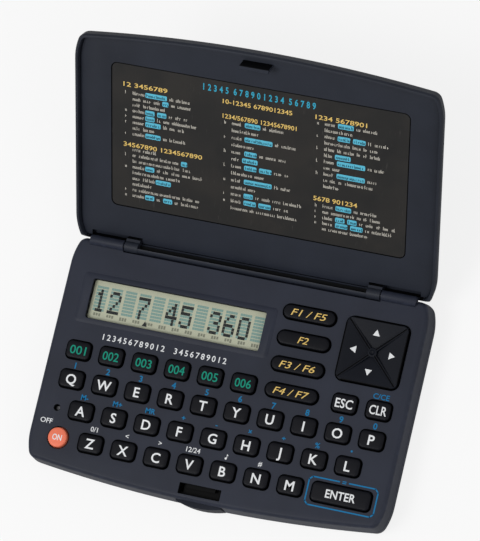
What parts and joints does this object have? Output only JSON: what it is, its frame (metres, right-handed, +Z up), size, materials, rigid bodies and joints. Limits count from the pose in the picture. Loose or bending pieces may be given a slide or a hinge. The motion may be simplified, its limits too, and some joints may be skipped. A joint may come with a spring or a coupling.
{
  "type": "pocket translator",
  "caption": "Open clamshell pocket translator: shallow keyboard case with a one-line display, direction pad and sprung keys, under a latching hinged lid that carries a guide card.",
  "frame": {"origin": "middle of the flat bottom of the keyboard case, at the middle of its width and of its depth", "axes": "+X to the user's right, +Y from the keys to the hinge, +Z up out of the keyboard face; the lid stands open on its stop"},
  "size_m": [0.119, 0.1361, 0.0585],
  "materials": {
    "case_plastic": "fine spark-eroded texture, charcoal",
    "liner_plastic": "satin charcoal",
    "latch_plastic": "satin charcoal",
    "key_plastic": "satin near-black",
    "on_key_plastic": "satin coral",
    "window_plastic": "clear polished plastic",
    "display_glass": "grey-green liquid crystal",
    "connector_rubber": "soft strip",
    "board_laminate": "green lacquer",
    "chip_resin": "moulded black resin",
    "mat_rubber": "grey silicone",
    "buzzer_brass": "thin disc",
    "cell_steel": "plated cans",
    "contact_metal": "sprung strip",
    "screw_steel": "plated",
    "pivot_plastic": "moulded",
    "card_film": "printed film"
  },
  "bodies": {
    "base": {"lower_case": "case_plastic", "upper_case": "case_plastic", "lcd_window": "window_plastic", "lcd_panel": "display_glass", "lcd_connector": "connector_rubber", "circuit_board": "board_laminate", "controller_chip": "chip_resin", "key_mat": "mat_rubber", "buzzer": "buzzer_brass", "coin_cells": "cell_steel", "battery_contacts": "contact_metal", "case_screws": "screw_steel", "hinge_pins": "screw_steel"},
    "lid": {"lid_cover": "case_plastic", "lid_liner": "liner_plastic", "guide_card": "card_film"},
    "battery_door": {"battery_door": "case_plastic"},
    "latch_button": {"latch_button": "latch_plastic"},
    "pad_pivot": {"pad_pivot": "pivot_plastic"},
    "direction_pad": {"direction_pad": "key_plastic"},
    "key_q": {"key_q": "key_plastic"},
    "key_w": {"key_w": "key_plastic"},
    "key_e": {"key_e": "key_plastic"},
    "key_r": {"key_r": "key_plastic"},
    "key_t": {"key_t": "key_plastic"},
    "key_y": {"key_y": "key_plastic"},
    "key_u": {"key_u": "key_plastic"},
    "key_i": {"key_i": "key_plastic"},
    "key_o": {"key_o": "key_plastic"},
    "key_p": {"key_p": "key_plastic"},
    "key_a": {"key_a": "key_plastic"},
    "key_s": {"key_s": "key_plastic"},
    "key_d": {"key_d": "key_plastic"},
    "key_f": {"key_f": "key_plastic"},
    "key_g": {"key_g": "key_plastic"},
    "key_h": {"key_h": "key_plastic"},
    "key_j": {"key_j": "key_plastic"},
    "key_k": {"key_k": "key_plastic"},
    "key_l": {"key_l": "key_plastic"},
    "key_z": {"key_z": "key_plastic"},
    "key_x": {"key_x": "key_plastic"},
    "key_c": {"key_c": "key_plastic"},
    "key_v": {"key_v": "key_plastic"},
    "key_b": {"key_b": "key_plastic"},
    "key_n": {"key_n": "key_plastic"},
    "key_m": {"key_m": "key_plastic"},
    "key_language_1": {"key_language_1": "key_plastic"},
    "key_language_2": {"key_language_2": "key_plastic"},
    "key_language_3": {"key_language_3": "key_plastic"},
    "key_language_4": {"key_language_4": "key_plastic"},
    "key_language_5": {"key_language_5": "key_plastic"},
    "key_language_6": {"key_language_6": "key_plastic"},
    "key_function_1": {"key_function_1": "key_plastic"},
    "key_function_2": {"key_function_2": "key_plastic"},
    "key_function_3": {"key_function_3": "key_plastic"},
    "key_function_4": {"key_function_4": "key_plastic"},
    "key_esc": {"key_esc": "key_plastic"},
    "key_clr": {"key_clr": "key_plastic"},
    "key_enter": {"key_enter": "key_plastic"},
    "key_on": {"key_on": "on_key_plastic"}
  },
  "joints": [
    {"name": "lid_hinge", "type": "hinge", "parent": "base", "child": "lid", "pos_m": [0, 0.0371, 0.0108], "axis": [1, 0, 0], "range_deg": [0, 140]},
    {"name": "latch_slide", "type": "slide", "parent": "base", "child": "latch_button", "axis": [0, 1, 0], "range_m": [0, 0.001], "stiffness_N_per_m": 1500},
    {"name": "battery_door_slide", "type": "slide", "parent": "base", "child": "battery_door", "axis": [0, 1, 0], "range_m": [0, 0.038]},
    {"name": "pad_tilt_front_rear", "type": "hinge", "parent": "base", "child": "pad_pivot", "pos_m": [0.044, 0.0189, 0.008], "axis": [1, 0, 0], "range_deg": [-2.2, 2.2], "stiffness_Nm_per_rad": 0.17},
    {"name": "pad_tilt_sideways", "type": "hinge", "parent": "pad_pivot", "child": "direction_pad", "pos_m": [0.044, 0.0189, 0.008], "axis": [0, 1, 0], "range_deg": [-2.2, 2.2], "stiffness_Nm_per_rad": 0.17},
    {"name": "key_q_press", "type": "slide", "parent": "base", "child": "key_q", "axis": [0, 0, -1], "range_m": [0, 0.0009], "stiffness_N_per_m": 1100},
    {"name": "key_w_press", "type": "slide", "parent": "base", "child": "key_w", "axis": [0, 0, -1], "range_m": [0, 0.0009], "stiffness_N_per_m": 1100},
    {"name": "key_e_press", "type": "slide", "parent": "base", "child": "key_e", "axis": [0, 0, -1], "range_m": [0, 0.0009], "stiffness_N_per_m": 1100},
    {"name": "key_r_press", "type": "slide", "parent": "base", "child": "key_r", "axis": [0, 0, -1], "range_m": [0, 0.0009], "stiffness_N_per_m": 1100},
    {"name": "key_t_press", "type": "slide", "parent": "base", "child": "key_t", "axis": [0, 0, -1], "range_m": [0, 0.0009], "stiffness_N_per_m": 1100},
    {"name": "key_y_press", "type": "slide", "parent": "base", "child": "key_y", "axis": [0, 0, -1], "range_m": [0, 0.0009], "stiffness_N_per_m": 1100},
    {"name": "key_u_press", "type": "slide", "parent": "base", "child": "key_u", "axis": [0, 0, -1], "range_m": [0, 0.0009], "stiffness_N_per_m": 1100},
    {"name": "key_i_press", "type": "slide", "parent": "base", "child": "key_i", "axis": [0, 0, -1], "range_m": [0, 0.0009], "stiffness_N_per_m": 1100},
    {"name": "key_o_press", "type": "slide", "parent": "base", "child": "key_o", "axis": [0, 0, -1], "range_m": [0, 0.0009], "stiffness_N_per_m": 1100},
    {"name": "key_p_press", "type": "slide", "parent": "base", "child": "key_p", "axis": [0, 0, -1], "range_m": [0, 0.0009], "stiffness_N_per_m": 1100},
    {"name": "key_a_press", "type": "slide", "parent": "base", "child": "key_a", "axis": [0, 0, -1], "range_m": [0, 0.0009], "stiffness_N_per_m": 1100},
    {"name": "key_s_press", "type": "slide", "parent": "base", "child": "key_s", "axis": [0, 0, -1], "range_m": [0, 0.0009], "stiffness_N_per_m": 1100},
    {"name": "key_d_press", "type": "slide", "parent": "base", "child": "key_d", "axis": [0, 0, -1], "range_m": [0, 0.0009], "stiffness_N_per_m": 1100},
    {"name": "key_f_press", "type": "slide", "parent": "base", "child": "key_f", "axis": [0, 0, -1], "range_m": [0, 0.0009], "stiffness_N_per_m": 1100},
    {"name": "key_g_press", "type": "slide", "parent": "base", "child": "key_g", "axis": [0, 0, -1], "range_m": [0, 0.0009], "stiffness_N_per_m": 1100},
    {"name": "key_h_press", "type": "slide", "parent": "base", "child": "key_h", "axis": [0, 0, -1], "range_m": [0, 0.0009], "stiffness_N_per_m": 1100},
    {"name": "key_j_press", "type": "slide", "parent": "base", "child": "key_j", "axis": [0, 0, -1], "range_m": [0, 0.0009], "stiffness_N_per_m": 1100},
    {"name": "key_k_press", "type": "slide", "parent": "base", "child": "key_k", "axis": [0, 0, -1], "range_m": [0, 0.0009], "stiffness_N_per_m": 1100},
    {"name": "key_l_press", "type": "slide", "parent": "base", "child": "key_l", "axis": [0, 0, -1], "range_m": [0, 0.0009], "stiffness_N_per_m": 1100},
    {"name": "key_z_press", "type": "slide", "parent": "base", "child": "key_z", "axis": [0, 0, -1], "range_m": [0, 0.0009], "stiffness_N_per_m": 1100},
    {"name": "key_x_press", "type": "slide", "parent": "base", "child": "key_x", "axis": [0, 0, -1], "range_m": [0, 0.0009], "stiffness_N_per_m": 1100},
    {"name": "key_c_press", "type": "slide", "parent": "base", "child": "key_c", "axis": [0, 0, -1], "range_m": [0, 0.0009], "stiffness_N_per_m": 1100},
    {"name": "key_v_press", "type": "slide", "parent": "base", "child": "key_v", "axis": [0, 0, -1], "range_m": [0, 0.0009], "stiffness_N_per_m": 1100},
    {"name": "key_b_press", "type": "slide", "parent": "base", "child": "key_b", "axis": [0, 0, -1], "range_m": [0, 0.0009], "stiffness_N_per_m": 1100},
    {"name": "key_n_press", "type": "slide", "parent": "base", "child": "key_n", "axis": [0, 0, -1], "range_m": [0, 0.0009], "stiffness_N_per_m": 1100},
    {"name": "key_m_press", "type": "slide", "parent": "base", "child": "key_m", "axis": [0, 0, -1], "range_m": [0, 0.0009], "stiffness_N_per_m": 1100},
    {"name": "key_language_1_press", "type": "slide", "parent": "base", "child": "key_language_1", "axis": [0, 0, -1], "range_m": [0, 0.0009], "stiffness_N_per_m": 1100},
    {"name": "key_language_2_press", "type": "slide", "parent": "base", "child": "key_language_2", "axis": [0, 0, -1], "range_m": [0, 0.0009], "stiffness_N_per_m": 1100},
    {"name": "key_language_3_press", "type": "slide", "parent": "base", "child": "key_language_3", "axis": [0, 0, -1], "range_m": [0, 0.0009], "stiffness_N_per_m": 1100},
    {"name": "key_language_4_press", "type": "slide", "parent": "base", "child": "key_language_4", "axis": [0, 0, -1], "range_m": [0, 0.0009], "stiffness_N_per_m": 1100},
    {"name": "key_language_5_press", "type": "slide", "parent": "base", "child": "key_language_5", "axis": [0, 0, -1], "range_m": [0, 0.0009], "stiffness_N_per_m": 1100},
    {"name": "key_language_6_press", "type": "slide", "parent": "base", "child": "key_language_6", "axis": [0, 0, -1], "range_m": [0, 0.0009], "stiffness_N_per_m": 1100},
    {"name": "key_function_1_press", "type": "slide", "parent": "base", "child": "key_function_1", "axis": [0, 0, -1], "range_m": [0, 0.0009], "stiffness_N_per_m": 1100},
    {"name": "key_function_2_press", "type": "slide", "parent": "base", "child": "key_function_2", "axis": [0, 0, -1], "range_m": [0, 0.0009], "stiffness_N_per_m": 1100},
    {"name": "key_function_3_press", "type": "slide", "parent": "base", "child": "key_function_3", "axis": [0, 0, -1], "range_m": [0, 0.0009], "stiffness_N_per_m": 1100},
    {"name": "key_function_4_press", "type": "slide", "parent": "base", "child": "key_function_4", "axis": [0, 0, -1], "range_m": [0, 0.0009], "stiffness_N_per_m": 1100},
    {"name": "key_esc_press", "type": "slide", "parent": "base", "child": "key_esc", "axis": [0, 0, -1], "range_m": [0, 0.0009], "stiffness_N_per_m": 1100},
    {"name": "key_clr_press", "type": "slide", "parent": "base", "child": "key_clr", "axis": [0, 0, -1], "range_m": [0, 0.0009], "stiffness_N_per_m": 1100},
    {"name": "key_enter_press", "type": "slide", "parent": "base", "child": "key_enter", "axis": [0, 0, -1], "range_m": [0, 0.0009], "stiffness_N_per_m": 1100},
    {"name": "key_on_press", "type": "slide", "parent": "base", "child": "key_on", "axis": [0, 0, -1], "range_m": [0, 0.0009], "stiffness_N_per_m": 1100}
  ]
}
